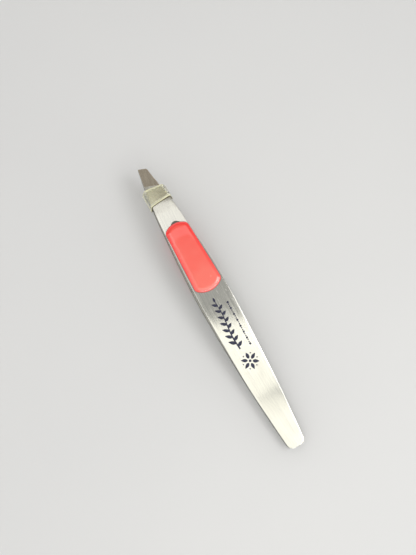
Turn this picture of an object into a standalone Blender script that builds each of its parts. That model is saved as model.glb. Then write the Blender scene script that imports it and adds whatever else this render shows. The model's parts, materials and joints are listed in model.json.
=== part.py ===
"""Slant-tip tweezers with a clear sleeve on the tip, lying on a flat surface.

Two bowed strips of stainless steel, the arms, are welded face to face at the tail.
Each arm carries a domed grip pad in a shallow pocket on its outer face.
A clear band, the tip sleeve, is slipped over both tips and keeps them almost shut.

The pieces are drawn in the tweezers' own frame: x runs from the tail end to the tip,
y across the arms, and z = 0 is the plane midway between them, so the upper arm is the
lower one turned over. An empty then leans that frame until the tail and the lower grip
pad both touch the ground plane, and puts the origin under the middle of the part.
"""
import math

import bmesh
import bpy
from mathutils import Matrix, Vector

MM = 0.001

# Arms: outline in plan. Half-widths are given at a distance from the tail end.
LENGTH = 95.0 * MM
HALF_WIDTHS = (
    (0.0, 2.62 * MM),
    (8.0 * MM, 3.36 * MM),
    (25.0 * MM, 4.50 * MM),
    (48.0 * MM, 5.02 * MM),
    (75.5 * MM, 3.78 * MM),
    (87.8 * MM, 2.46 * MM),
    (LENGTH, 1.27 * MM),
)
TAIL_CORNER = 1.6 * MM
SLANT = math.radians(20.0)
SLANT_FADE = 8.0 * MM

# Arms: side view. Offsets are from the middle plane to an arm's inner face.
PIECE_GAP = 0.3 * MM
WELD_LENGTH = 17.0 * MM
BOW_PLACE = 55.0 * MM
BOW_OFFSET = 3.3 * MM
SLEEVE_OFFSET = 1.5 * MM
TIP_OFFSET = 0.6 * MM
STRIP = 1.2 * MM
GRIND_START = 16.0 * MM
BEVEL_START = 5.9 * MM
BEVEL_THICKNESS = 0.84 * MM
EDGE_THICKNESS = 0.32 * MM
EDGE_CHAMFER = 0.2 * MM
STATION_STEP = 3.0 * MM

# Grip pads, in a pocket of the outer face.
PAD_REAR = 51.7 * MM
PAD_FRONT = 74.6 * MM
PAD_REAR_HALF = 4.5 * MM
PAD_FRONT_HALF = 3.72 * MM
PAD_CORNER = 1.7 * MM
PAD_REAR_ARC = 6.2 * MM
PAD_FRONT_ARC = 5.3 * MM
PAD_END_REACH = 2.9 * MM
PAD_STAND = 0.7 * MM
PAD_RIM = 0.45 * MM
POCKET_DEPTH = 0.35 * MM

# Tip sleeve, a flattened tube around both arms.
SLEEVE_REAR = LENGTH - 12.1 * MM
SLEEVE_FRONT = LENGTH - 7.6 * MM
SLEEVE_HALF = 3.9 * MM
SLEEVE_WALL = 0.4 * MM
SLEEVE_CLEARANCE = 0.3 * MM

COLOURS = {
    "satin_steel": ((0.78, 0.77, 0.74, 1.0), 0.32, 1.0, 1.0),
    "coral_grip": ((0.95, 0.10, 0.08, 1.0), 0.22, 0.0, 1.0),
    "clear_sleeve": ((0.78, 0.72, 0.48, 1.0), 0.15, 0.0, 0.35),
}


def clear_scene():
    for thing in list(bpy.data.objects):
        bpy.data.objects.remove(thing, do_unlink=True)


def make_material(name):
    colour, roughness, metallic, alpha = COLOURS[name]
    material = bpy.data.materials.new(name)
    material.use_nodes = True
    shader = material.node_tree.nodes["Principled BSDF"]
    shader.inputs["Base Color"].default_value = colour
    shader.inputs["Roughness"].default_value = roughness
    shader.inputs["Metallic"].default_value = metallic
    shader.inputs["Alpha"].default_value = alpha
    return material


def end_slope(inner, outer):
    """Slope of a smooth curve at a knot between two straight runs, with no overshoot."""
    if inner * outer <= 0.0:
        return 0.0
    return 2.0 * inner * outer / (inner + outer)


def smooth_through(knots, place):
    """Height at a place on the smooth curve through the knots, which are in order."""
    place = min(max(place, knots[0][0]), knots[-1][0])
    runs = [(b[1] - a[1]) / (b[0] - a[0]) for a, b in zip(knots, knots[1:])]
    slopes = [runs[0]] + [end_slope(a, b) for a, b in zip(runs, runs[1:])] + [runs[-1]]
    index = 0
    while index < len(runs) - 1 and place > knots[index + 1][0]:
        index += 1
    (x0, y0), (x1, y1) = knots[index], knots[index + 1]
    span = x1 - x0
    t = (place - x0) / span
    rise = (2 * t + 1) * (1 - t) ** 2 * y0 + (3 - 2 * t) * t * t * y1
    lean = t * (1 - t) ** 2 * slopes[index] - t * t * (1 - t) * slopes[index + 1]
    return rise + lean * span


def half_width(x):
    """Half the arm's width, with the tail's two corners rounded off."""
    width = smooth_through(HALF_WIDTHS, x)
    if x < TAIL_CORNER:
        missing = TAIL_CORNER - x
        width -= TAIL_CORNER - math.sqrt(TAIL_CORNER ** 2 - missing ** 2)
    return width


def inner_offset(x):
    """Distance from the middle plane to an arm's inner face."""
    knots = (
        (0.0, PIECE_GAP / 2),
        (WELD_LENGTH, PIECE_GAP / 2),
        (BOW_PLACE, BOW_OFFSET),
        (SLEEVE_REAR, SLEEVE_OFFSET),
        (LENGTH, TIP_OFFSET),
    )
    return smooth_through(knots, x)


def arm_thickness(x):
    """The strip is ground thinner towards the tip, and then to an edge by the bevel."""
    back = LENGTH - x
    if back < BEVEL_START:
        return EDGE_THICKNESS + (BEVEL_THICKNESS - EDGE_THICKNESS) * back / BEVEL_START
    if back < GRIND_START:
        part = (back - BEVEL_START) / (GRIND_START - BEVEL_START)
        return BEVEL_THICKNESS + (STRIP - BEVEL_THICKNESS) * part
    return STRIP


def outer_offset(x):
    return inner_offset(x) + arm_thickness(x)


def slant_share(x):
    """How far a cross line follows the slanted edge: 1 on the bevel, fading to 0 behind it."""
    part = min(max(LENGTH - x - BEVEL_START, 0.0) / SLANT_FADE, 1.0)
    return (1.0 - part) ** 2 * (1.0 + 2.0 * part)


def on_arm(x, y, z):
    """Leans a cross line with the tip's slant. The corner at +y is the longest one."""
    back = slant_share(x) * (half_width(x) - y) * math.tan(SLANT)
    return Vector((x - back, y, z))


def loft(name, rings, material, parent):
    """One closed solid through a row of rings that have the same number of points."""
    mesh = bpy.data.meshes.new(name)
    shape = bmesh.new()
    loops = [[shape.verts.new(point) for point in ring] for ring in rings]
    for first, second in zip(loops, loops[1:]):
        for index in range(len(first)):
            after = (index + 1) % len(first)
            shape.faces.new((first[index], first[after], second[after], second[index]))
    shape.faces.new(loops[0])
    shape.faces.new(loops[-1])
    return finish_shape(name, mesh, shape, material, parent)


def sleeve_band(name, outer_rings, inner_rings, material, parent):
    """An open tube: an outer skin, an inner skin and the two end faces between them."""
    mesh = bpy.data.meshes.new(name)
    shape = bmesh.new()
    outer = [[shape.verts.new(point) for point in ring] for ring in outer_rings]
    inner = [[shape.verts.new(point) for point in ring] for ring in inner_rings]
    path = outer + inner[::-1] + outer[:1]
    for first, second in zip(path, path[1:]):
        for index in range(len(first)):
            after = (index + 1) % len(first)
            shape.faces.new((first[index], first[after], second[after], second[index]))
    return finish_shape(name, mesh, shape, material, parent)


def finish_shape(name, mesh, shape, material, parent):
    bmesh.ops.recalc_face_normals(shape, faces=shape.faces)
    shape.to_mesh(mesh)
    shape.free()
    mesh.shade_smooth()
    mesh.set_sharp_from_angle(angle=math.radians(30.0))
    if material:
        mesh.materials.append(material)
    thing = bpy.data.objects.new(name, mesh)
    bpy.context.collection.objects.link(thing)
    thing.parent = parent
    return thing


def arm_stations():
    """Places along an arm: close together round the tail's corners and at the bevel."""
    places = [TAIL_CORNER * (1.0 - math.cos(math.radians(a))) for a in (0, 22.5, 45, 67.5, 90)]
    count = round((WELD_LENGTH - TAIL_CORNER) / (2 * STATION_STEP))
    places += [TAIL_CORNER + (WELD_LENGTH - TAIL_CORNER) * i / count for i in range(1, count + 1)]
    front = LENGTH - GRIND_START
    count = round((front - WELD_LENGTH) / STATION_STEP)
    places += [WELD_LENGTH + (front - WELD_LENGTH) * i / count for i in range(1, count + 1)]
    bevel = LENGTH - BEVEL_START
    places += [front + (bevel - front) * i / 4 for i in range(1, 5)]
    places += [bevel + BEVEL_START * i / 3 for i in range(1, 4)]
    return places


def arm_ring(x, side):
    """Cross-section of an arm: a flat strip with chamfered edges."""
    half = half_width(x)
    low = inner_offset(x)
    high = outer_offset(x)
    cut = min(EDGE_CHAMFER, (high - low) / 3)
    corners = (
        (half, low + cut), (half, high - cut), (half - cut, high), (cut - half, high),
        (-half, high - cut), (-half, low + cut), (cut - half, low), (half - cut, low),
    )
    return [on_arm(x, y, side * z) for y, z in corners]


def end_half_width(from_end, half, corner, arc):
    """Half-width at a distance from an end that is a wide arc with a rounder corner."""
    reach = arc - corner
    corner_place = arc - math.sqrt(reach ** 2 - (half - corner) ** 2)
    touch = arc - arc * (arc - corner_place) / reach
    if from_end < touch:
        return math.sqrt(max(arc ** 2 - (arc - from_end) ** 2, 0.0))
    if from_end < corner_place:
        return half - corner + math.sqrt(corner ** 2 - (corner_place - from_end) ** 2)
    return half


def pad_half_width(x, grow):
    """Half-width of the pad's outline, which tapers to the front and is grown all round."""
    part = (x - PAD_REAR) / (PAD_FRONT - PAD_REAR)
    half = PAD_REAR_HALF + (PAD_FRONT_HALF - PAD_REAR_HALF) * min(max(part, 0.0), 1.0) + grow
    rear = end_half_width(x - PAD_REAR + grow, half, PAD_CORNER + grow, PAD_REAR_ARC + grow)
    front = end_half_width(PAD_FRONT + grow - x, half, PAD_CORNER + grow, PAD_FRONT_ARC + grow)
    return min(rear, front)


def pad_stations(grow):
    """Places along the pad, close together at both ends, where its outline turns."""
    near = [PAD_END_REACH * part for part in (0.01, 0.06, 0.15, 0.28, 0.45, 0.7, 1.0)]
    rear = [PAD_REAR - grow + place for place in near]
    front = [PAD_FRONT + grow - place for place in reversed(near)]
    count = round((front[0] - rear[-1]) / STATION_STEP)
    middle = [rear[-1] + (front[0] - rear[-1]) * i / count for i in range(1, count)]
    return rear + middle + front


def pad_ring(x, side):
    """Cross-section of a pad: flat below, rolled over at the rim, level on top."""
    half = pad_half_width(x, 0.0)
    base = outer_offset(x) - POCKET_DEPTH + PIECE_GAP
    from_end = min(x - PAD_REAR, PAD_FRONT - x)
    roll = min(from_end / PAD_RIM, 1.0)
    top = PAD_STAND * (0.6 + 0.4 * math.sin(roll * math.pi / 2))
    rim = min(PAD_RIM, half * 0.6)
    corners = (
        (half, 0.0), (half, top * 0.6), (half - rim * 0.35, top * 0.9), (half - rim, top),
        (rim - half, top), (rim * 0.35 - half, top * 0.9), (-half, top * 0.6), (-half, 0.0),
    )
    return [Vector((x, y, side * (base + z))) for y, z in corners]


def pocket_ring(x, side):
    """Cross-section of the pocket's cutter, from the pocket floor to well above the arm."""
    half = pad_half_width(x, PIECE_GAP)
    floor = outer_offset(x) - POCKET_DEPTH
    roof = outer_offset(x) + 2.0 * STRIP
    corners = ((half, floor), (half, roof), (-half, roof), (-half, floor))
    return [Vector((x, y, side * z)) for y, z in corners]


def sleeve_ring(x, shrink):
    """Cross-section of the sleeve: flat over each arm, bowed out at the two sides."""
    top = outer_offset(x) + SLEEVE_CLEARANCE + SLEEVE_WALL - shrink
    shoulder = half_width(x) + SLEEVE_CLEARANCE + SLEEVE_WALL - shrink
    side = SLEEVE_HALF - shrink
    quarter = (
        (side, 0.0),
        (side - (side - shoulder) * 0.3, top * 0.5),
        (shoulder, top * 0.88),
        (shoulder - SLEEVE_WALL * 0.8, top),
    )
    upper = list(quarter) + [(-y, z) for y, z in reversed(quarter)]
    lower = [(-y, -z) for y, z in upper[1:-1]]
    return [Vector((x, y, z)) for y, z in upper + lower]


def add_empty(name, parent, location):
    empty = bpy.data.objects.new(name, None)
    bpy.context.collection.objects.link(empty)
    empty.parent = parent
    empty.location = location
    return empty


def cut_pocket(arm, side, parent):
    """Sinks the grip pad's pocket into the arm's outer face."""
    rings = [pocket_ring(x, side) for x in pad_stations(PIECE_GAP)]
    cutter = loft(arm.name + "_pocket_cutter", rings, None, parent)
    cutter.hide_render = True
    cutter.display_type = "WIRE"
    pocket = arm.modifiers.new("pocket", "BOOLEAN")
    pocket.operation = "DIFFERENCE"
    pocket.solver = "EXACT"
    pocket.object = cutter
    return cutter


def make_arm(name, side, material, frame, pivot):
    arm = loft(name, [arm_ring(x, side) for x in arm_stations()], material, frame)
    cutter = cut_pocket(arm, side, frame)
    for thing in (arm, cutter):
        thing.location = -pivot
    return arm


def make_pad(name, side, material, frame, pivot):
    rings = [pad_ring(x, side) for x in pad_stations(0.0)]
    pad = loft(name, rings, material, frame)
    pad.location = -pivot
    return pad


def make_sleeve(material, frame, centre):
    places = [SLEEVE_REAR + (SLEEVE_FRONT - SLEEVE_REAR) * i / 2 for i in range(3)]
    outer = [sleeve_ring(x, 0.0) for x in places]
    inner = [sleeve_ring(x, SLEEVE_WALL) for x in places]
    sleeve = sleeve_band("tip_sleeve", outer, inner, material, frame)
    sleeve.location = -centre
    return sleeve


def resting_lean():
    """Angle at which the tail's lower edge and the lower pad's crown touch the ground."""
    heel = outer_offset(0.0)
    crown = PIECE_GAP - POCKET_DEPTH + PAD_STAND
    steps = 200
    angles = []
    for index in range(steps + 1):
        x = PAD_REAR + (PAD_FRONT - PAD_REAR) * index / steps
        angles.append(math.atan((outer_offset(x) + crown - heel) / x))
    return max(angles)


def rest_frame():
    """The tweezers' frame, leaned on the ground with the origin under the part's middle."""
    lean = resting_lean()
    turn = Matrix.Rotation(-lean, 4, "Y")
    heel = turn @ Vector((0.0, 0.0, -outer_offset(0.0)))
    tail_end = turn @ Vector((0.0, 0.0, outer_offset(0.0)))
    tip_end = turn @ Vector((LENGTH, 0.0, -TIP_OFFSET))
    frame = add_empty("rest_frame", None, (-(tail_end.x + tip_end.x) / 2, 0.0, -heel.z))
    frame.rotation_euler = (0.0, -lean, 0.0)
    return frame


def build():
    clear_scene()
    steel = make_material("satin_steel")
    coral = make_material("coral_grip")
    clear = make_material("clear_sleeve")
    frame = rest_frame()
    still = Vector((0.0, 0.0, 0.0))
    pivot = Vector((WELD_LENGTH, 0.0, (PIECE_GAP + STRIP) / 2))
    flexure = add_empty("upper_arm_flexure", frame, pivot)
    centre = Vector(((SLEEVE_REAR + SLEEVE_FRONT) / 2, 0.0, 0.0))
    slide = add_empty("tip_sleeve_slide", frame, centre)
    make_arm("lower_arm", -1, steel, frame, still)
    make_pad("lower_grip_pad", -1, coral, frame, still)
    make_arm("upper_arm", 1, steel, flexure, pivot)
    make_pad("upper_grip_pad", 1, coral, flexure, pivot)
    make_sleeve(clear, slide, centre)


build()
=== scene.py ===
"""Looks of the slant-tip tweezers: detailed meshes, materials, floor, light and camera.

Shapes are drawn in the tweezers' own frame, as in the CAD model: x runs from the tail end
to the tip, y across the arms, and z = 0 is the plane midway between them. FRAME_MATRIX
takes that frame to where the part lies on the floor.
"""
import json
import math

import bmesh
import bpy
from mathutils import Matrix, Vector


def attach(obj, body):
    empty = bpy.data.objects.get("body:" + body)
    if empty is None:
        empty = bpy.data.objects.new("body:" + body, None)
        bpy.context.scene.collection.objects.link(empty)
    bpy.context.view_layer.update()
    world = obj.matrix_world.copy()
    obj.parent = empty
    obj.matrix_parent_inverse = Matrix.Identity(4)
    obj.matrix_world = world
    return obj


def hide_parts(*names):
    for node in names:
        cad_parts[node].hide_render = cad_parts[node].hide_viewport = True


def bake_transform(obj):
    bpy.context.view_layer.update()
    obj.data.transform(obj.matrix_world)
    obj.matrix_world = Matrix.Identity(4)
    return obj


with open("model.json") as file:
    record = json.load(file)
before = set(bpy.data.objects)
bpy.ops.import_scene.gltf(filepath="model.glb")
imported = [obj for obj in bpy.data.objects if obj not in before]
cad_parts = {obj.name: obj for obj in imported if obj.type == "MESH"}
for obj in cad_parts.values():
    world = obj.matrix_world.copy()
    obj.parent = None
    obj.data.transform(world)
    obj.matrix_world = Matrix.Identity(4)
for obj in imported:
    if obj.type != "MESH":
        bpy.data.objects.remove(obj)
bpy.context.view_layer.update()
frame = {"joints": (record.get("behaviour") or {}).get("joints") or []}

MM = 0.001
X_AXIS = Vector((1.0, 0.0, 0.0))

# Arms, with the CAD model's driving dimensions.
LENGTH = 95.0 * MM
HALF_WIDTHS = (
    (0.0, 2.62 * MM),
    (8.0 * MM, 3.36 * MM),
    (25.0 * MM, 4.50 * MM),
    (48.0 * MM, 5.02 * MM),
    (75.5 * MM, 3.78 * MM),
    (87.8 * MM, 2.46 * MM),
    (LENGTH, 1.27 * MM),
)
TAIL_CORNER = 1.6 * MM
SLANT = math.radians(20.0)
SLANT_FADE = 8.0 * MM
PIECE_GAP = 0.3 * MM
WELD_LENGTH = 17.0 * MM
BOW_PLACE = 55.0 * MM
BOW_OFFSET = 3.3 * MM
SLEEVE_OFFSET = 1.5 * MM
TIP_OFFSET = 0.6 * MM
STRIP = 1.2 * MM
GRIND_START = 16.0 * MM
BEVEL_START = 5.9 * MM
BEVEL_THICKNESS = 0.84 * MM
EDGE_THICKNESS = 0.32 * MM

# Arms, finer than the CAD model.
WELD_SEAM = 0.03 * MM
SEAM_OPENING = 7.0 * MM
OUTER_ROUND = 0.22 * MM
INNER_ROUND = 0.12 * MM
TIP_ROUND = 0.07 * MM
TIP_CORNER = 0.35 * MM
CROWN = 0.03 * MM
ARM_STEP = 0.75 * MM
BEVEL_CRISP = 0.05 * MM

# Grip pads and the pockets they sit in.
PAD_REAR = 51.7 * MM
PAD_FRONT = 74.6 * MM
PAD_REAR_HALF = 4.5 * MM
PAD_FRONT_HALF = 3.72 * MM
PAD_CORNER = 1.7 * MM
PAD_REAR_ARC = 6.2 * MM
PAD_FRONT_ARC = 5.3 * MM
PAD_ROLL = 1.95 * MM
PAD_RISE = 0.55 * MM
PAD_CROWN = 0.1 * MM
PAD_BED = 0.02 * MM
PAD_WALL_DROP = 0.1 * MM
PAD_SPINE_SETBACK = 0.9
PAD_ROLL_PARTS = (0.0, 0.015, 0.05, 0.11, 0.2, 0.32, 0.46, 0.62, 0.8, 1.0)
PAD_TOP_PARTS = (0.15, 0.3, 0.45, 0.6, 0.75, 0.88, 0.97)
POCKET_DEPTH = 0.35 * MM
POCKET_POINTS = 180
POCKET_MARGIN = 0.05 * MM
POCKET_RELIEF = 0.6 * MM
POCKET_RELIEF_HALF = 1.5 * MM
POCKET_RELIEF_Y = -0.4 * MM

# Tip sleeve.
SLEEVE_REAR = LENGTH - 12.1 * MM
SLEEVE_FRONT = LENGTH - 7.6 * MM
SLEEVE_HALF = 3.9 * MM
SLEEVE_WALL = 0.38 * MM
SLEEVE_CLEARANCE = 0.14 * MM
SLEEVE_SKEW = 0.1
SLEEVE_FOLD_REACH = 1.1 * MM
SLEEVE_FRONT_REACH = 0.66 * MM
SLEEVE_FOLD_ROUND = 0.42 * MM
SLEEVE_INNER_ROUND = 0.06 * MM
SLEEVE_SHOULDER_ROUND = 0.5 * MM
SLEEVE_FRONT_LIP = 0.14 * MM
SLEEVE_REAR_LIP = 0.32 * MM
SLEEVE_PAINT_FROM = 3.4 * MM

# Printed ornament.
INK_HEIGHT = 0.02 * MM
INK_DEPTH = 0.05 * MM
SPRIG_REAR = 32.6 * MM
SPRIG_FRONT = 49.3 * MM
SPRIG_Y = 0.95 * MM
SPRIG_WAVE = 0.3 * MM
SPRIG_WAVE_STEP = 2.6 * MM
SPRIG_LEAVES = 14
SPRIG_LEAF_WIDTH = 0.98 * MM
SPRIG_BUD = 1.5 * MM
BEADS_REAR = 32.6 * MM
BEADS_FRONT = 46.3 * MM
BEADS_Y = -2.4 * MM
BEAD_COUNT = 22
BEAD_RADII = (0.34 * MM, 0.21 * MM, 0.21 * MM)
BLOSSOM_X = 28.2 * MM
BLOSSOM_Y = 0.08 * MM
BLOSSOM_RADIUS = 2.7 * MM
BLOSSOM_PETALS = 6
PETAL_START = 0.7 * MM
PETAL_WIDTH = 0.95 * MM

# Camera: where it stands over the floor, which way is up in the picture, and its tilt
# from looking straight down. The lens is given by its focal length in sensor heights.
CAMERA_PLACE = Vector((-35.7, 23.4, 239.4)) * MM
PICTURE_UP = math.radians(-29.3)
CAMERA_TILT = math.radians(12.2)
SENSOR = 36.0
FOCAL_IN_SENSORS = 1.4414


# ---------------------------------------------------------------- shape of the arms

def end_slope(inner, outer):
    """Slope of a smooth curve at a knot between two straight runs, with no overshoot."""
    if inner * outer <= 0.0:
        return 0.0
    return 2.0 * inner * outer / (inner + outer)


def smooth_through(knots, place):
    """Height at a place on the smooth curve through the knots, which are in order."""
    place = min(max(place, knots[0][0]), knots[-1][0])
    runs = [(b[1] - a[1]) / (b[0] - a[0]) for a, b in zip(knots, knots[1:])]
    slopes = [runs[0]] + [end_slope(a, b) for a, b in zip(runs, runs[1:])] + [runs[-1]]
    index = 0
    while index < len(runs) - 1 and place > knots[index + 1][0]:
        index += 1
    (x0, y0), (x1, y1) = knots[index], knots[index + 1]
    span = x1 - x0
    t = (place - x0) / span
    rise = (2 * t + 1) * (1 - t) ** 2 * y0 + (3 - 2 * t) * t * t * y1
    lean = t * (1 - t) ** 2 * slopes[index] - t * t * (1 - t) * slopes[index + 1]
    return rise + lean * span


def quarter_roll(from_end, radius):
    """How much a rounded edge has dropped at a distance from the end of it."""
    if from_end >= radius:
        return 0.0
    return radius - math.sqrt(max(radius ** 2 - (radius - from_end) ** 2, 0.0))


def smooth_fade(part):
    """1 at part 0, falling smoothly to 0 at part 1."""
    part = min(max(part, 0.0), 1.0)
    return (1.0 - part) ** 2 * (1.0 + 2.0 * part)


def half_width(x):
    return smooth_through(HALF_WIDTHS, x) - quarter_roll(x, TAIL_CORNER)


def cad_inner_offset(x):
    """Distance from the middle plane to an arm's inner face in the CAD model."""
    knots = (
        (0.0, PIECE_GAP / 2),
        (WELD_LENGTH, PIECE_GAP / 2),
        (BOW_PLACE, BOW_OFFSET),
        (SLEEVE_REAR, SLEEVE_OFFSET),
        (LENGTH, TIP_OFFSET),
    )
    return smooth_through(knots, x)


def inner_offset(x):
    """The same, with the two welded ends brought together to a fine seam."""
    closing = PIECE_GAP / 2 - WELD_SEAM / 2
    return cad_inner_offset(x) - closing * smooth_fade((x - WELD_LENGTH) / SEAM_OPENING)


def arm_thickness(x):
    back = LENGTH - x
    if back < BEVEL_START:
        return EDGE_THICKNESS + (BEVEL_THICKNESS - EDGE_THICKNESS) * back / BEVEL_START
    if back < GRIND_START:
        part = (back - BEVEL_START) / (GRIND_START - BEVEL_START)
        return BEVEL_THICKNESS + (STRIP - BEVEL_THICKNESS) * part
    return STRIP


def outer_offset(x):
    return cad_inner_offset(x) + arm_thickness(x)


def outer_face(x, y):
    """Height of an arm's very slightly crowned outer face above the middle plane."""
    return outer_offset(x) - CROWN * (y / half_width(x)) ** 2


def slant_share(x):
    """How far a cross line follows the slanted edge: 1 on the bevel, fading to 0 behind it."""
    return smooth_fade((LENGTH - x - BEVEL_START) / SLANT_FADE)


def on_arm(x, y, z):
    """Leans a cross line with the tip's slant. The corner at +y is the longest one."""
    back = slant_share(x) * (half_width(x) - y) * math.tan(SLANT)
    return Vector((x - back, y, z))


# ---------------------------------------------------------------- mesh helpers

SHARP_DEGREES = 35.0
FACE_MAP = "face_map"


def tweezers_frame():
    """The tweezers' own frame: the sleeve's slide gives its x axis, the hinge its origin."""
    joints = {joint["name"]: joint for joint in frame["joints"]}
    x_axis = Vector(joints["sleeve_pull"]["axis"]).normalized()
    y_axis = Vector((0.0, 1.0, 0.0))
    z_axis = x_axis.cross(y_axis)
    hinge = Vector(joints["arm_squeeze"]["pos_m"])
    origin = hinge - x_axis * WELD_LENGTH - z_axis * (PIECE_GAP + STRIP) / 2
    matrix = Matrix((x_axis, y_axis, z_axis)).transposed().to_4x4()
    matrix.translation = origin
    return matrix


FRAME_MATRIX = tweezers_frame()


def spread(start, end, count):
    """Evenly spaced values from start to end, both included."""
    return [start + (end - start) * i / (count - 1) for i in range(count)]


def rounded_outline(corners, arc_steps):
    """Closed outline with an arc at each corner. A corner is (y, z, radius, run), where run
    is how many extra points the straight line after it gets."""
    points = []
    for index, (y, z, radius, run) in enumerate(corners):
        here = Vector((y, z))
        before = (Vector(corners[index - 1][:2]) - here).normalized()
        after = (Vector(corners[(index + 1) % len(corners)][:2]) - here).normalized()
        half_angle = before.angle(after) / 2
        reach = radius / math.tan(half_angle)
        centre = here + (before + after).normalized() * radius / math.sin(half_angle)
        start = here + before * reach - centre
        turn = math.pi - 2 * half_angle
        way = 1.0 if before.y * after.x > before.x * after.y else -1.0
        for step in range(arc_steps + 1):
            angle = way * turn * step / arc_steps
            points.append(centre + Matrix.Rotation(angle, 2) @ start)
        points += [None] * run
    return fill_runs(points)


def fill_runs(points):
    """Replaces each run of None by points spaced evenly between its two neighbours."""
    filled = list(points)
    index = 0
    while index < len(points):
        if points[index] is None:
            length = 1
            while points[(index + length) % len(points)] is None:
                length += 1
            first, last = points[index - 1], points[(index + length) % len(points)]
            for step in range(length):
                filled[index + step] = first.lerp(last, (step + 1) / (length + 1))
            index += length
        index += 1
    return filled


def finish_mesh(name, shape, materials, sharp_degrees=SHARP_DEGREES):
    """Turns a bmesh drawn in the tweezers' frame into an object lying in its place."""
    bmesh.ops.recalc_face_normals(shape, faces=shape.faces)
    mesh = bpy.data.meshes.new(name)
    shape.to_mesh(mesh)
    shape.free()
    mesh.transform(FRAME_MATRIX)
    mesh.shade_smooth()
    mesh.set_sharp_from_angle(angle=math.radians(sharp_degrees))
    for material in materials:
        mesh.materials.append(material)
    thing = bpy.data.objects.new(name, mesh)
    bpy.context.scene.collection.objects.link(thing)
    return thing


def face_map(shape):
    """The mesh's texture map, which is made at its first use."""
    return shape.loops.layers.uv.get(FACE_MAP) or shape.loops.layers.uv.new(FACE_MAP)


def loft(shape, rings, slot_of=None, closed=False):
    """Skins a row of rings. The texture map holds x and the girth, in mm."""
    texture_map = face_map(shape)
    loops = [[shape.verts.new(point) for point in ring] for ring in rings]
    count = len(loops[0])
    pairs = list(zip(range(len(loops)), range(1, len(loops))))
    if closed:
        pairs.append((len(loops) - 1, 0))
    for first, second in pairs:
        girth = [0.0]
        for index in range(count):
            girth.append(girth[-1] + (rings[first][index] - rings[first][index - 1]).length)
        for index in range(count):
            after = (index + 1) % count
            corners = (
                (loops[first][index], index), (loops[first][after], index + 1),
                (loops[second][after], index + 1), (loops[second][index], index),
            )
            face = shape.faces.new([corner[0] for corner in corners])
            for loop, (vertex, place) in zip(face.loops, corners):
                loop[texture_map].uv = Vector((vertex.co.x, girth[place])) / MM
            if slot_of:
                face.material_index = slot_of(first, index)
    return loops


def cap(shape, loop):
    """Closes a loft's end with one flat face."""
    texture_map = face_map(shape)
    face = shape.faces.new(loop)
    for corner in face.loops:
        corner[texture_map].uv = corner.vert.co.yz / MM
    return face


def cross_fill(shape, loop):
    """Closes a symmetric loop, whose first and middle points lie on its axis, with strips."""
    texture_map = face_map(shape)
    count = len(loop)
    for index in range(count // 2):
        left = (loop[index], loop[index + 1])
        right = (loop[-index - 1], loop[-index] if index else loop[0])
        corners = []
        for vertex in (left[0], left[1], right[0], right[1]):
            if vertex not in corners:
                corners.append(vertex)
        if len(corners) > 2:
            face = shape.faces.new(corners)
            for corner in face.loops:
                corner[texture_map].uv = corner.vert.co.xy / MM


# ---------------------------------------------------------------- arms

FACE_SLOT, BEVEL_SLOT, EDGE_SLOT = 0, 1, 2
ARC_STEPS = 5
OUTER_RUN = 13
SIDE_RUN = 1


def arm_stations():
    """Places along an arm, close together where it turns: tail corner, bevel and edge."""
    places = [TAIL_CORNER * (1.0 - math.cos(math.radians(a))) for a in range(0, 91, 6)]
    places += [OUTER_ROUND * (1.0 - math.cos(math.radians(a))) for a in range(15, 91, 15)]
    bevel = LENGTH - BEVEL_START
    front = LENGTH - TIP_ROUND
    places += spread(TAIL_CORNER, bevel - BEVEL_CRISP, round((bevel - TAIL_CORNER) / ARM_STEP))
    places += [bevel]
    places += spread(bevel + BEVEL_CRISP, LENGTH - 3 * TIP_CORNER, 8)
    places += spread(LENGTH - 2 * TIP_CORNER, front, 12)
    places += [LENGTH - TIP_ROUND * (1.0 - math.sin(math.radians(a))) for a in (30, 60, 90)]
    return sorted(set(round(place, 9) for place in places))


def arm_ring(x, side):
    """Cross-section of an arm: a flat strip with rounded edges and a slight crown."""
    from_tip = LENGTH - x
    tip_roll = quarter_roll(from_tip, TIP_ROUND)
    left = half_width(x) - tip_roll
    right = half_width(x) - max(quarter_roll(from_tip, TIP_CORNER), tip_roll)
    low = inner_offset(x) + quarter_roll(x, INNER_ROUND) + tip_roll
    high = outer_offset(x) - quarter_roll(x, OUTER_ROUND) - tip_roll
    outer_round = min(OUTER_ROUND, (high - low) * 0.35)
    inner_round = min(INNER_ROUND, (high - low) * 0.35)
    outline = rounded_outline((
        (left, low, inner_round, SIDE_RUN),
        (left, high, outer_round, OUTER_RUN),
        (-right, high, outer_round, SIDE_RUN),
        (-right, low, inner_round, OUTER_RUN),
    ), ARC_STEPS)
    ring = []
    for y, z in outline:
        crown = CROWN * (y / left) ** 2 if z > (low + high) / 2 else 0.0
        ring.append(on_arm(x, y, side * (z - crown)))
    return ring


def arm_slot(places):
    """Which material each face of an arm takes, by its station and its place round the ring."""
    arc = ARC_STEPS + 1
    outer_first = arc + SIDE_RUN + ARC_STEPS // 2
    outer_last = outer_first + arc + OUTER_RUN
    inner_first = outer_last + arc + SIDE_RUN

    def slot_of(station, index):
        if outer_first <= index <= outer_last:
            on_bevel = places[station] >= LENGTH - BEVEL_START - BEVEL_CRISP
            return BEVEL_SLOT if on_bevel else FACE_SLOT
        return FACE_SLOT if index >= inner_first else EDGE_SLOT

    return slot_of


def pad_half_width(x, grow):
    """Half-width of the pad's outline, which tapers to the front and is grown all round."""
    part = (x - PAD_REAR) / (PAD_FRONT - PAD_REAR)
    half = PAD_REAR_HALF + (PAD_FRONT_HALF - PAD_REAR_HALF) * min(max(part, 0.0), 1.0) + grow
    rear = end_half_width(x - PAD_REAR + grow, half, PAD_CORNER + grow, PAD_REAR_ARC + grow)
    front = end_half_width(PAD_FRONT + grow - x, half, PAD_CORNER + grow, PAD_FRONT_ARC + grow)
    return min(rear, front)


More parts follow.
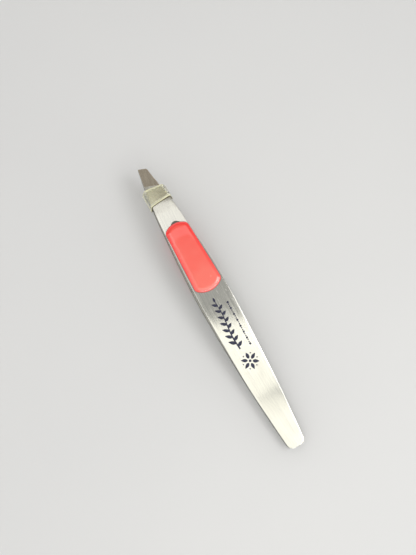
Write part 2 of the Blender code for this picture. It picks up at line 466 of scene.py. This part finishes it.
def end_half_width(from_end, half, corner, arc):
    """Half-width at a distance from an end that is a wide arc with a rounder corner."""
    reach = arc - corner
    corner_place = arc - math.sqrt(reach ** 2 - (half - corner) ** 2)
    touch = arc - arc * (arc - corner_place) / reach
    if from_end < touch:
        return math.sqrt(max(arc ** 2 - (arc - from_end) ** 2, 0.0))
    if from_end < corner_place:
        return half - corner + math.sqrt(corner ** 2 - (corner_place - from_end) ** 2)
    return half


def pad_outline(grow, count=72):
    """The pad's outline grown by a distance, as evenly spaced points: out along +y from the
    rear end to the front end, and back along -y."""
    rear, front = PAD_REAR - grow, PAD_FRONT + grow
    middle, reach = (rear + front) / 2, (front - rear) / 2
    fine = [middle - reach * math.cos(math.pi * i / 1200) for i in range(1201)]
    path = [Vector((x, pad_half_width(x, grow))) for x in fine]
    path[0].y = path[-1].y = 0.0
    lengths = [0.0]
    for a, b in zip(path, path[1:]):
        lengths.append(lengths[-1] + (b - a).length)
    points = []
    index = 0
    for step in range(count + 1):
        goal = lengths[-1] * step / count
        while index < len(path) - 2 and lengths[index + 1] < goal:
            index += 1
        part = (goal - lengths[index]) / (lengths[index + 1] - lengths[index])
        points.append(path[index].lerp(path[index + 1], min(part, 1.0)))
    return points + [Vector((p.x, -p.y)) for p in points[-2:0:-1]]


def pocket_outline():
    """The pocket is a little larger than the pad, and its front end has a small relief."""
    outline = pad_outline(POCKET_MARGIN, POCKET_POINTS)
    for point in outline:
        if point.x > PAD_FRONT - PAD_CORNER:
            part = (point.y - POCKET_RELIEF_Y) / POCKET_RELIEF_HALF
            point.x += POCKET_RELIEF * max(1.0 - part ** 2, 0.0)
    return outline


def cut_pocket(arm, side):
    """Sinks the grip pad's pocket into the arm's outer face."""
    shape = bmesh.new()
    outline = pocket_outline()
    levels = (-POCKET_DEPTH, STRIP)
    rings = []
    for z in levels:
        rings.append([Vector((p.x, p.y, side * (outer_offset(p.x) + z))) for p in outline])
    for loop in loft(shape, rings):
        cross_fill(shape, loop)
    # The pocket's walls and floor take the dark edge colour: painted shade in the recess, which
    # gives the dark crescent at the pad's front.
    for face in shape.faces:
        face.material_index = EDGE_SLOT
    cutter = finish_mesh("pocket_cutter", shape, list(arm.data.materials))
    pocket = arm.modifiers.new("pocket", "BOOLEAN")
    pocket.solver = "EXACT"
    pocket.object = cutter
    apply_modifiers(arm)
    close_slits(arm.data)
    arm.data.set_sharp_from_angle(angle=math.radians(SHARP_DEGREES))
    bpy.data.objects.remove(cutter)


def close_slits(mesh):
    """Fills the hair-thin slits that a boolean can leave open."""
    shape = bmesh.new()
    shape.from_mesh(mesh)
    open_edges = [edge for edge in shape.edges if edge.is_boundary]
    bmesh.ops.holes_fill(shape, edges=open_edges, sides=4)
    shape.to_mesh(mesh)
    shape.free()


def apply_modifiers(thing):
    graph = bpy.context.evaluated_depsgraph_get()
    mesh = bpy.data.meshes.new_from_object(thing.evaluated_get(graph))
    thing.modifiers.clear()
    thing.data = mesh


def make_arm(name, side, materials):
    shape = bmesh.new()
    places = arm_stations()
    loops = loft(shape, [arm_ring(x, side) for x in places], arm_slot(places))
    for loop in (loops[0], loops[-1]):
        # The end faces take the dark edge colour too: painted shade.
        cap(shape, loop).material_index = EDGE_SLOT
    arm = finish_mesh(name, shape, materials)
    cut_pocket(arm, side)
    return arm


# ---------------------------------------------------------------- grip pads

INSET_LAYER = "inset"


def pad_level(inset):
    """Height of the dome over the arm at a distance in from its outline: a rolled rim, then
    a slight crown."""
    roll = min(inset / PAD_ROLL, 1.0)
    crown = 1.0 - (1.0 - min(inset / PAD_REAR_HALF, 1.0)) ** 2
    return PAD_RISE * math.sqrt(1.0 - (1.0 - roll) ** 2) + PAD_CROWN * crown


def pad_rings(side):
    """Rings over the dome: the wall in the pocket, the rolled rim, and on to the spine."""
    spine_rear = PAD_REAR + PAD_REAR_HALF * PAD_SPINE_SETBACK
    spine_front = PAD_FRONT - PAD_FRONT_HALF * PAD_SPINE_SETBACK
    wall = (PAD_BED - POCKET_DEPTH, -PAD_WALL_DROP)
    rings = [[(p, depth) for p in pad_outline(0.0)] for depth in wall]
    insets = [0.0, 0.0]
    for part in PAD_ROLL_PARTS:
        insets.append(PAD_ROLL * part)
        level = pad_level(insets[-1])
        rings.append([(p, level) for p in pad_outline(-insets[-1])])
    last = pad_outline(-PAD_ROLL)
    for part in PAD_TOP_PARTS:
        insets.append(PAD_ROLL + (PAD_REAR_HALF - PAD_ROLL) * part)
        level = pad_level(insets[-1])
        goals = [Vector((min(max(p.x, spine_rear), spine_front), 0.0)) for p in last]
        rings.append([(p.lerp(goal, part), level) for p, goal in zip(last, goals)])
    points = [[Vector((p.x, p.y, side * (outer_offset(p.x) + z))) for p, z in r] for r in rings]
    return points, insets


def make_pad(name, side, material):
    """A pad also stores how far in from its outline each point is, in mm."""
    shape = bmesh.new()
    layer = shape.verts.layers.float.new(INSET_LAYER)
    rings, insets = pad_rings(side)
    loops = loft(shape, rings)
    for loop, inset in zip(loops, insets):
        for vertex in loop:
            vertex[layer] = inset / MM
    cross_fill(shape, loops[0])
    cross_fill(shape, loops[-1])
    return finish_mesh(name, shape, [material], sharp_degrees=60.0)


# ---------------------------------------------------------------- tip sleeve

SLEEVE_PAINT_LAYER = "painted_light_shade"


def sleeve_ring(part, shrink, beyond):
    """Cross-section of the sleeve at a part of its length, inside its outer skin by shrink
    and moved along by beyond. Its cut ends aren't quite square, and its side folds lie
    further back than its middle."""
    x = SLEEVE_REAR + (SLEEVE_FRONT - SLEEVE_REAR) * part
    top = outer_offset(x) + SLEEVE_CLEARANCE + SLEEVE_WALL - shrink
    shoulder = half_width(x) + SLEEVE_CLEARANCE + SLEEVE_WALL * 0.6 - shrink * 0.6
    fold = SLEEVE_HALF - shrink * 1.25
    fold_round = max(SLEEVE_FOLD_ROUND - shrink, SLEEVE_INNER_ROUND)
    outline = rounded_outline((
        (fold, 0.0, fold_round, 3),
        (shoulder, top, SLEEVE_SHOULDER_ROUND, 9),
        (-shoulder, top, SLEEVE_SHOULDER_ROUND, 3),
        (-fold, 0.0, fold_round, 3),
        (-shoulder, -top, SLEEVE_SHOULDER_ROUND, 9),
        (shoulder, -top, SLEEVE_SHOULDER_ROUND, 3),
    ), 6)
    ring = []
    for y, z in outline:
        fold_share = (y / SLEEVE_HALF) ** 10
        rear = SLEEVE_REAR - SLEEVE_SKEW * y - SLEEVE_FOLD_REACH * fold_share
        front = SLEEVE_FRONT + SLEEVE_SKEW * y - SLEEVE_FRONT_REACH * fold_share
        ring.append(Vector((rear + (front - rear) * part + beyond, y, z)))
    return ring


def painted_light_share(point, on_lip, on_nose):
    """How the vinyl is painted at a point: 0 clear; 1 paler and less clear, a painted stand-in
    for the light its cut ends and side folds gather; and 2 a painted shadow line at the nose of
    its rear end."""
    span = SLEEVE_HALF - SLEEVE_PAINT_FROM
    fold = 1.0 - smooth_fade((abs(point.y) - SLEEVE_PAINT_FROM) / span)
    if on_nose:
        return 2.0 - fold
    return 1.0 if on_lip else fold


def make_sleeve(name, material):
    shape = bmesh.new()
    layer = shape.verts.layers.float.new(SLEEVE_PAINT_LAYER)
    parts = spread(0.0, 1.0, 9)
    lip = [math.radians(a) for a in range(0, 181, 22)]
    rings = [sleeve_ring(part, 0.0, 0.0) for part in parts[:-1]]
    for a in lip:
        shrink = SLEEVE_WALL * (1.0 - math.cos(a)) / 2
        rings.append(sleeve_ring(1.0, shrink, SLEEVE_FRONT_LIP * math.sin(a)))
    rings += [sleeve_ring(part, SLEEVE_WALL, 0.0) for part in parts[-2:0:-1]]
    for a in lip:
        shrink = SLEEVE_WALL * (1.0 + math.cos(a)) / 2
        rings.append(sleeve_ring(0.0, shrink, -SLEEVE_REAR_LIP * math.sin(a)))
    loops = loft(shape, rings[1:], closed=True)
    # The cut ends and folds get painted light, and the rear end's nose a painted shadow line.
    first_lip = len(parts) - 2
    for index, loop in enumerate(loops):
        on_front = first_lip <= index < first_lip + len(lip)
        rear_step = index - (len(loops) - len(lip))
        on_nose = 0 <= rear_step < len(lip) - 3
        for vertex in loop:
            vertex[layer] = painted_light_share(vertex.co, on_front or rear_step >= 0, on_nose)
    return finish_mesh(name, shape, [material], sharp_degrees=70.0)


# ---------------------------------------------------------------- printed ornament

def ink_point(x, y, lift):
    return Vector((x, y, outer_face(x, y) + lift))


def ink_stroke(shape, path, widths):
    """A closed thin slab of ink along a path of (x, y) points, with a width at each point."""
    texture_map = face_map(shape)
    sections = []
    for index, point in enumerate(path):
        ahead = path[min(index + 1, len(path) - 1)] - path[max(index - 1, 0)]
        across = Vector((-ahead.y, ahead.x)).normalized() * widths[index] / 2
        edges = (point + across, point - across)
        corners = [ink_point(p.x, p.y, INK_HEIGHT) for p in edges]
        corners += [ink_point(p.x, p.y, -INK_DEPTH) for p in reversed(edges)]
        sections.append([shape.verts.new(corner) for corner in corners])
    faces = [sections[0], sections[-1]]
    for first, second in zip(sections, sections[1:]):
        for i in range(4):
            j = (i + 1) % 4
            faces.append((first[i], first[j], second[j], second[i]))
    for face in faces:
        for corner in shape.faces.new(face).loops:
            corner[texture_map].uv = corner.vert.co.xy / MM


def ink_disc(shape, centre, radius, steps=14):
    """A round dot of ink."""
    texture_map = face_map(shape)
    rings = []
    for lift in (INK_HEIGHT, -INK_DEPTH):
        turns = [2 * math.pi * i / steps for i in range(steps)]
        rim = [centre + Vector((math.cos(a), math.sin(a))) * radius for a in turns]
        rings.append([shape.verts.new(ink_point(p.x, p.y, lift)) for p in rim])
    faces = list(rings)
    for i in range(steps):
        j = (i + 1) % steps
        faces.append((rings[0][i], rings[0][j], rings[1][j], rings[1][i]))
    for face in faces:
        for corner in shape.faces.new(face).loops:
            corner[texture_map].uv = corner.vert.co.xy / MM


def leaf(shape, root, direction, length, width, steps=9):
    """A pointed leaf or petal, widest a little before its middle."""
    path = [root + direction * length * t for t in spread(0.0, 1.0, steps)]
    widths = [0.08 * MM + width * math.sin(math.pi * t ** 0.8) for t in spread(0.0, 1.0, steps)]
    ink_stroke(shape, path, widths)


def sprig_stem(x):
    """The stem waves gently about its line."""
    return Vector((x, SPRIG_Y + SPRIG_WAVE * math.sin((x - SPRIG_REAR) / SPRIG_WAVE_STEP)))


def make_sprig(name, material):
    """A stem with leaves on alternate sides, smaller towards its end, and a bud."""
    shape = bmesh.new()
    places = spread(SPRIG_REAR, SPRIG_FRONT - 1.3 * MM, 60)
    taper = spread(0.5 * MM, 0.26 * MM, 60)
    ink_stroke(shape, [sprig_stem(x) for x in places], taper)
    roots = spread(SPRIG_REAR + 0.9 * MM, SPRIG_FRONT - 2.6 * MM, SPRIG_LEAVES)
    for index, x in enumerate(roots):
        way = 1.0 if index % 2 else -1.0
        size = 1.0 - 0.25 * index / (SPRIG_LEAVES - 1)
        lean = math.radians(52.0 if way > 0 else 58.0)
        direction = Vector((math.cos(lean), way * math.sin(lean)))
        reach = (2.5 if way > 0 else 2.0) * MM * size
        leaf(shape, sprig_stem(x), direction, reach, SPRIG_LEAF_WIDTH * size)
    leaf(shape, sprig_stem(places[-1]), X_AXIS.xy, SPRIG_BUD, 0.62 * MM)
    return finish_mesh(name, shape, [material])


def make_beads(name, material):
    """A fine line of dots, every third one larger."""
    shape = bmesh.new()
    for index, x in enumerate(spread(BEADS_REAR, BEADS_FRONT, BEAD_COUNT)):
        ink_disc(shape, Vector((x, BEADS_Y)), BEAD_RADII[index % len(BEAD_RADII)])
    return finish_mesh(name, shape, [material])


def make_blossom(name, material):
    """Six petals round a centre dot, with a small dot between each two petals."""
    shape = bmesh.new()
    centre = Vector((BLOSSOM_X, BLOSSOM_Y))
    ink_disc(shape, centre, 0.42 * MM)
    length = BLOSSOM_RADIUS - PETAL_START
    step = 2 * math.pi / BLOSSOM_PETALS
    for index in range(BLOSSOM_PETALS):
        angle = step * index
        direction = Vector((math.cos(angle), math.sin(angle)))
        leaf(shape, centre + direction * PETAL_START, direction, length, PETAL_WIDTH)
        angle += step / 2
        direction = Vector((math.cos(angle), math.sin(angle)))
        ink_disc(shape, centre + direction * BLOSSOM_RADIUS * 0.86, 0.2 * MM)
    return finish_mesh(name, shape, [material])


# ---------------------------------------------------------------- materials

def add_node(tree, kind, inputs=None, **settings):
    """Adds a node, sets its properties, and sets or links its inputs."""
    made = tree.nodes.new(kind)
    for key, value in settings.items():
        setattr(made, key, value)
    for key, value in (inputs or {}).items():
        if isinstance(value, bpy.types.NodeSocket):
            tree.links.new(value, made.inputs[key])
        else:
            made.inputs[key].default_value = value
    return made


def new_material(name, **uniform):
    """A material with its Principled shader's uniform sockets set."""
    material = bpy.data.materials.new(name)
    material.use_nodes = True
    shader = material.node_tree.nodes["Principled BSDF"]
    for key, value in uniform.items():
        shader.inputs[key.replace("_", " ")].default_value = value
    return material, material.node_tree, shader


def noise(tree, vector, scale, detail=3.0, roughness=0.55):
    inputs = {"Vector": vector, "Scale": scale, "Detail": detail, "Roughness": roughness}
    return add_node(tree, "ShaderNodeTexNoise", inputs).outputs["Fac"]


def remap(tree, value, low, high, from_low=0.3, from_high=0.7):
    inputs = {0: value, 1: from_low, 2: from_high, 3: low, 4: high}
    return add_node(tree, "ShaderNodeMapRange", inputs).outputs[0]


def add(tree, first, second):
    return add_node(tree, "ShaderNodeMath", {0: first, 1: second}, operation="ADD").outputs[0]


def colour_ramp(tree, factor, stops):
    """A colour that runs through the stops, each a place from 0 to 1 and its colour."""
    ramp = add_node(tree, "ShaderNodeValToRGB", {"Fac": factor})
    elements = ramp.color_ramp.elements
    while len(elements) < len(stops):
        elements.new(0.5)
    for element, (place, colour) in zip(elements, stops):
        element.position = place
        element.color = (*colour[:3], 1.0)
    return ramp.outputs["Color"]


def colour_between(tree, factor, first, second):
    return colour_ramp(tree, factor, ((0.0, first), (1.0, second)))


def stretched(tree, vector, scale, turn=0.0):
    """Texture coordinates turned in the face's plane and stretched."""
    inputs = {"Vector": vector, "Scale": scale, "Rotation": (0.0, 0.0, turn)}
    return add_node(tree, "ShaderNodeMapping", inputs).outputs["Vector"]


def bump(tree, height, distance, strength=1.0):
    inputs = {"Height": height, "Distance": distance, "Strength": strength}
    return add_node(tree, "ShaderNodeBump", inputs).outputs["Normal"]


def steel_material(name, first, second, roughness, grooves, line_depth, turn=0.0):
    """Steel brushed one way: fine lines, streaks, handling smudges and a few stray scratches.
    The grooves scatter light across themselves more than along."""
    material, tree, shader = new_material(
        name, Metallic=1.0, Anisotropic=grooves, Anisotropic_Rotation=0.25 + turn / (2 * math.pi),
    )
    tangent = add_node(tree, "ShaderNodeTangent", direction_type="UV_MAP", uv_map=FACE_MAP)
    tree.links.new(tangent.outputs["Tangent"], shader.inputs["Tangent"])
    face = add_node(tree, "ShaderNodeUVMap", uv_map=FACE_MAP).outputs["UV"]
    place = add_node(tree, "ShaderNodeTexCoord").outputs["Object"]
    fine = noise(tree, stretched(tree, face, (0.15, 9.0, 1.0), turn), 1.0, 4.0)
    streaks = noise(tree, stretched(tree, face, (0.06, 2.2, 1.0), turn), 1.0, 4.0, 0.7)
    smudges = noise(tree, place, 190.0, 3.0)
    scratches = noise(tree, stretched(tree, face, (0.18, 5.2, 1.0), turn + 0.35), 1.0, 2.0)
    scratch = remap(tree, scratches, 0.0, 0.14, 0.69, 0.73)
    tone = add(tree, remap(tree, streaks, 0.0, 0.75), remap(tree, smudges, 0.0, 0.25))
    tree.links.new(colour_between(tree, tone, first, second), shader.inputs["Base Color"])
    rough = add(tree, remap(tree, smudges, roughness - 0.02, roughness + 0.03),
                remap(tree, streaks, -0.03, 0.04))
    tree.links.new(add(tree, rough, scratch), shader.inputs["Roughness"])
    height = add(tree, fine, remap(tree, scratches, 0.0, -1.2, 0.69, 0.73))
    tree.links.new(bump(tree, height, line_depth), shader.inputs["Normal"])
    return material


def edge_material(name):
    """The sheared and tumbled sides of the strip: rougher, with fine marks across. Their very
    dark colour is partly the sheared finish and mostly painted shade, for sides that turn away
    from the light and face the floor's shadow.
    """
    material, tree, shader = new_material(name, Metallic=1.0)
    face = add_node(tree, "ShaderNodeUVMap", uv_map=FACE_MAP).outputs["UV"]
    marks = noise(tree, stretched(tree, face, (7.0, 0.9, 1.0)), 1.0, 3.0)
    place = add_node(tree, "ShaderNodeTexCoord").outputs["Object"]
    grime_and_shade = noise(tree, place, 700.0, 3.0)
    # Painted shade: two dark tones for the shaded sides, with random variation between them.
    colour = colour_between(tree, grime_and_shade, (0.10, 0.095, 0.085, 1), (0.30, 0.29, 0.26, 1))
    tree.links.new(colour, shader.inputs["Base Color"])
    tree.links.new(remap(tree, marks, 0.36, 0.5), shader.inputs["Roughness"])
    tree.links.new(bump(tree, marks, 0.006 * MM), shader.inputs["Normal"])
    return material


def coral_material(name):
    """Domed coral resin, a little orange-peel. Its colour carries painted shading: darker towards
    the front and at the rolled rim, lighter towards the rear, in place of the light and shade on
    the dome.
    """
    material, tree, shader = new_material(
        name, IOR=1.5, Coat_Weight=1.0, Coat_Roughness=0.05, Coat_IOR=1.75,
        Subsurface_Weight=0.08, Subsurface_Scale=0.4 * MM,
    )
    shader.inputs["Subsurface Radius"].default_value = (1.0, 0.35, 0.25)
    place = add_node(tree, "ShaderNodeTexCoord").outputs["Object"]
    clouds = noise(tree, place, 110.0, 2.0)
    peel = noise(tree, place, 900.0, 2.0)
    specks = noise(tree, place, 5200.0, 1.0)
    along = add_node(tree, "ShaderNodeSeparateXYZ", {0: place}).outputs["X"]
    # Painted shading: the colour darkens towards the pad's front and at its rolled rim (small
    # inset), and lightens towards the rear. The clouds add random tone.
    start, end = (FRAME_MATRIX @ Vector((x, 0.0, 0.0)) for x in (PAD_FRONT, PAD_REAR))
    depth = remap(tree, along, -0.45, 0.25, start.x, end.x)
    inset = add_node(tree, "ShaderNodeAttribute", attribute_name=INSET_LAYER).outputs["Fac"]
    rim = remap(tree, inset, 0.0, 0.8, 0.1, 1.2)
    tone = add(tree, add(tree, depth, rim), remap(tree, clouds, -0.05, 0.25))
    colour = colour_between(tree, tone, (1.0, 0.016, 0.012, 1), (1.0, 0.175, 0.128, 1))
    tree.links.new(colour, shader.inputs["Base Color"])
    tree.links.new(remap(tree, clouds, 0.2, 0.3), shader.inputs["Roughness"])
    height = add(tree, peel, remap(tree, specks, 0.0, 0.2, 0.68, 0.75))
    tree.links.new(bump(tree, height, 0.012 * MM), shader.inputs["Normal"])
    return material


def vinyl_material(name):
    """Clear vinyl that has yellowed: cloudy patches, faint drawing lines, dust."""
    material, tree, shader = new_material(
        name, IOR=1.46, Coat_Weight=0.3, Coat_Roughness=0.06,
    )
    place = add_node(tree, "ShaderNodeTexCoord").outputs["Object"]
    face = add_node(tree, "ShaderNodeUVMap", uv_map=FACE_MAP).outputs["UV"]
    clouds = noise(tree, place, 500.0, 3.0)
    drawn = noise(tree, stretched(tree, face, (0.22, 4.2, 1.0)), 1.0, 3.0)
    # Painted light and shade: the layer makes the cut ends and side folds paler and less clear,
    # for the light they gather, and darkens the rear end's nose, for the shadow under it.
    painted_light_shade = add_node(tree, "ShaderNodeAttribute", attribute_name=SLEEVE_PAINT_LAYER).outputs["Fac"]
    tone = add(tree, remap(tree, clouds, 0.0, 0.12), remap(tree, painted_light_shade, 0.0, 1.0, 0.0, 2.0))
    colour = colour_ramp(tree, tone, (
        (0.0, (0.97, 0.955, 0.83)),
        (0.35, (0.96, 0.95, 0.76)),
        (0.55, (0.90, 0.88, 0.60)),
        (1.0, (0.20, 0.17, 0.09)),
    ))
    tree.links.new(colour, shader.inputs["Base Color"])
    clear = remap(tree, painted_light_shade, 0.9, 0.25, 0.0, 1.0)
    tree.links.new(clear, shader.inputs["Transmission Weight"])
    tree.links.new(remap(tree, clouds, 0.05, 0.14), shader.inputs["Roughness"])
    tree.links.new(bump(tree, add(tree, drawn, clouds), 0.012 * MM), shader.inputs["Normal"])
    return material


def ink_material(name):
    """Navy pad-printing ink, worn a little thin in specks."""
    material, tree, shader = new_material(name, IOR=1.5)
    place = add_node(tree, "ShaderNodeTexCoord").outputs["Object"]
    grain = noise(tree, place, 4200.0, 3.0)
    patches = noise(tree, place, 420.0, 3.0)
    tone = add(tree, remap(tree, grain, -0.1, 0.35, 0.5, 0.8), remap(tree, patches, 0.0, 0.35))
    colour = colour_between(tree, tone, (0.008, 0.010, 0.035, 1), (0.06, 0.065, 0.13, 1))
    tree.links.new(colour, shader.inputs["Base Color"])
    tree.links.new(remap(tree, grain, 0.35, 0.6), shader.inputs["Roughness"])
    tree.links.new(bump(tree, grain, 0.004 * MM), shader.inputs["Normal"])
    return material


def floor_material(name):
    """Plain pale grey board with a satin finish, faint cloudiness and fine specks."""
    material, tree, shader = new_material(name, IOR=1.45)
    place = add_node(tree, "ShaderNodeTexCoord").outputs["Object"]
    clouds = noise(tree, place, 9.0, 3.0)
    specks = noise(tree, place, 1800.0, 2.0)
    tone = add(tree, remap(tree, clouds, 0.0, 0.8), remap(tree, specks, 0.0, 0.2, 0.4, 0.8))
    colour = colour_between(tree, tone, (0.70, 0.70, 0.70, 1), (0.725, 0.725, 0.72, 1))
    tree.links.new(colour, shader.inputs["Base Color"])
    tree.links.new(remap(tree, clouds, 0.38, 0.48), shader.inputs["Roughness"])
    tree.links.new(bump(tree, specks, 0.01 * MM), shader.inputs["Normal"])
    return material


# ---------------------------------------------------------------- floor, light and camera

FLOOR_SIZE = 1.6
FLOOR_DROP = 0.02 * MM
PANEL_HEIGHT = 0.2
ROOM_LIGHT = (0.89, 0.89, 0.89, 1.0)


def make_floor():
    shape = bmesh.new()
    bmesh.ops.create_grid(shape, x_segments=16, y_segments=16, size=FLOOR_SIZE)
    mesh = bpy.data.meshes.new("floor")
    shape.to_mesh(mesh)
    shape.free()
    mesh.materials.append(floor_material("pale_board"))
    floor = bpy.data.objects.new("floor", mesh)
    bpy.context.scene.collection.objects.link(floor)
    floor.location.z = -FLOOR_DROP


def make_softbox(name, place, aim, size, radiance, turn=0.0, colour=(1.0, 1.0, 1.0)):
    """A rectangular softbox that faces a point, given by how bright its front looks."""
    light = bpy.data.lights.new(name, "AREA")
    light.shape = "RECTANGLE"
    light.size, light.size_y = size
    light.energy = radiance * math.pi * size[0] * size[1]
    light.color = colour
    thing = bpy.data.objects.new(name, light)
    thing.location = place
    back = (Vector(place) - Vector(aim)).normalized()
    spin = Matrix.Rotation(turn, 3, "Z")
    thing.rotation_euler = (back.to_track_quat("Z", "Y").to_matrix() @ spin).to_euler()
    thing.visible_camera = False
    bpy.context.scene.collection.objects.link(thing)


def make_lights():
    """Panels close overhead on both sides of a gap, a key light from the right of the
    picture with a weak fill opposite, and a wide, low light behind the tail."""
    centre = (0.0, 0.0, 0.005)
    tail_panel = Vector((-0.097, -0.021, PANEL_HEIGHT))
    tip_panel = Vector((0.094, -0.021, PANEL_HEIGHT))
    down = Vector((0.0, 0.0, -1.0))
    make_softbox("tail_panel", tail_panel, tail_panel + down, size=(0.082, 0.2), radiance=0.9,
                 turn=math.radians(-16.0), colour=(1.0, 0.98, 0.885))
    make_softbox("tip_panel", tip_panel, tip_panel + down, size=(0.040, 0.2), radiance=0.72)
    make_softbox("key_light", (-0.22, -0.40, 0.66), centre, size=(0.35, 0.35), radiance=3.0)
    make_softbox("fill_light", (0.05, 0.36, 0.60), centre, size=(0.6, 0.6), radiance=0.5)
    make_softbox("strip_light", (-0.42, -0.06, 0.40), centre, size=(0.6, 0.1), radiance=3.6)


def make_sky():
    """A plain studio room: pale all round, darker overhead and past the tip. A stop is an
    angle from straight up, leaning towards the tip, and how bright the room is there."""
    world = bpy.data.worlds.new("studio")
    bpy.context.scene.world = world
    world.use_nodes = True
    tree = world.node_tree
    way = add_node(tree, "ShaderNodeTexCoord").outputs["Generated"]
    parts = add_node(tree, "ShaderNodeSeparateXYZ", {0: way})
    lean = add_node(tree, "ShaderNodeMath", {0: parts.outputs["X"], 1: parts.outputs["Z"]},
                    operation="ARCTAN2")
    degrees = remap(tree, lean.outputs[0], 0.0, 1.0, -math.pi / 2, math.pi / 2)
    stops = (
        (-90.0, (0.89, 0.89, 0.89)),
        (-40.0, (0.89, 0.89, 0.88)),
        (-22.0, (0.42, 0.42, 0.41)),
        (12.0, (0.42, 0.42, 0.41)),
        (24.0, (0.36, 0.34, 0.30)),
        (44.0, (0.40, 0.37, 0.33)),
        (62.0, (1.10, 1.10, 1.10)),
        (90.0, (1.10, 1.10, 1.10)),
    )
    stops = [((angle + 90.0) / 180.0, colour) for angle, colour in stops]
    background = tree.nodes["Background"]
    overhead = remap(tree, parts.outputs["Z"], 0.0, 1.0, 0.4, 0.65)
    factor, first, second, result = 0, 6, 7, 2
    inputs = {factor: overhead, first: ROOM_LIGHT, second: colour_ramp(tree, degrees, stops)}
    mix = add_node(tree, "ShaderNodeMix", inputs, data_type="RGBA")
    tree.links.new(mix.outputs[result], background.inputs["Color"])


def make_camera():
    camera = bpy.data.cameras.new("camera")
    camera.sensor_width = SENSOR
    camera.lens = SENSOR * FOCAL_IN_SENSORS
    camera.clip_start = 0.01
    thing = bpy.data.objects.new("camera", camera)
    bpy.context.scene.collection.objects.link(thing)
    up_on_floor = Vector((math.cos(PICTURE_UP), math.sin(PICTURE_UP), 0.0))
    down = Vector((0.0, 0.0, -1.0))
    look = down * math.cos(CAMERA_TILT) + up_on_floor * math.sin(CAMERA_TILT)
    right = look.cross(up_on_floor).normalized()
    up = right.cross(look)
    matrix = Matrix((right, up, -look)).transposed().to_4x4()
    matrix.translation = CAMERA_PLACE
    thing.matrix_world = matrix
    bpy.context.scene.camera = thing


# ---------------------------------------------------------------- the object

def bend_with_arm(piece):
    """Fixes a piece of the upper arm where it lies; nothing here makes it follow the arm's bend.
    """
    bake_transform(piece)


def make_tweezers():
    face = steel_material("brushed_face", (0.68, 0.67, 0.62, 1), (0.86, 0.855, 0.785, 1),
                          roughness=0.145, grooves=0.6, line_depth=0.003 * MM)
    # The bevel's darker, browner steel colour is partly its ground finish and partly a painted
    # reflection of the dark room over the tip.
    bevel = steel_material("ground_bevel", (0.57, 0.52, 0.445, 1), (0.77, 0.71, 0.61, 1),
                           roughness=0.15, grooves=0.3, line_depth=0.002 * MM,
                           turn=math.radians(90.0) - SLANT)
    steel = (face, bevel, edge_material("sheared_edge_painted_shade"))
    coral = coral_material("coral_resin")
    ink = ink_material("navy_ink")

    upper_arm = make_arm("upper_arm_steel", 1, steel)
    bend_with_arm(upper_arm)
    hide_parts("upper_arm")
    lower_arm = make_arm("lower_arm_steel", -1, steel)
    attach(lower_arm, "lower_arm")
    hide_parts("lower_arm")

    for side, body in ((1, "upper_arm"), (-1, "lower_arm")):
        node = body.replace("arm", "grip_pad")
        pad = make_pad(node + "_resin", side, coral)
        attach(pad, body)
        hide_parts(node)

    sleeve = make_sleeve("tip_sleeve_vinyl", vinyl_material("yellowed_vinyl"))
    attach(sleeve, "tip_sleeve")
    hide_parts("tip_sleeve")

    prints = (make_sprig("print_sprig", ink), make_beads("print_beads", ink),
              make_blossom("print_blossom", ink))
    for piece in prints:
        bend_with_arm(piece)


make_tweezers()
make_floor()
make_sky()
make_lights()
make_camera()
bpy.context.scene.view_settings.view_transform = "Standard"
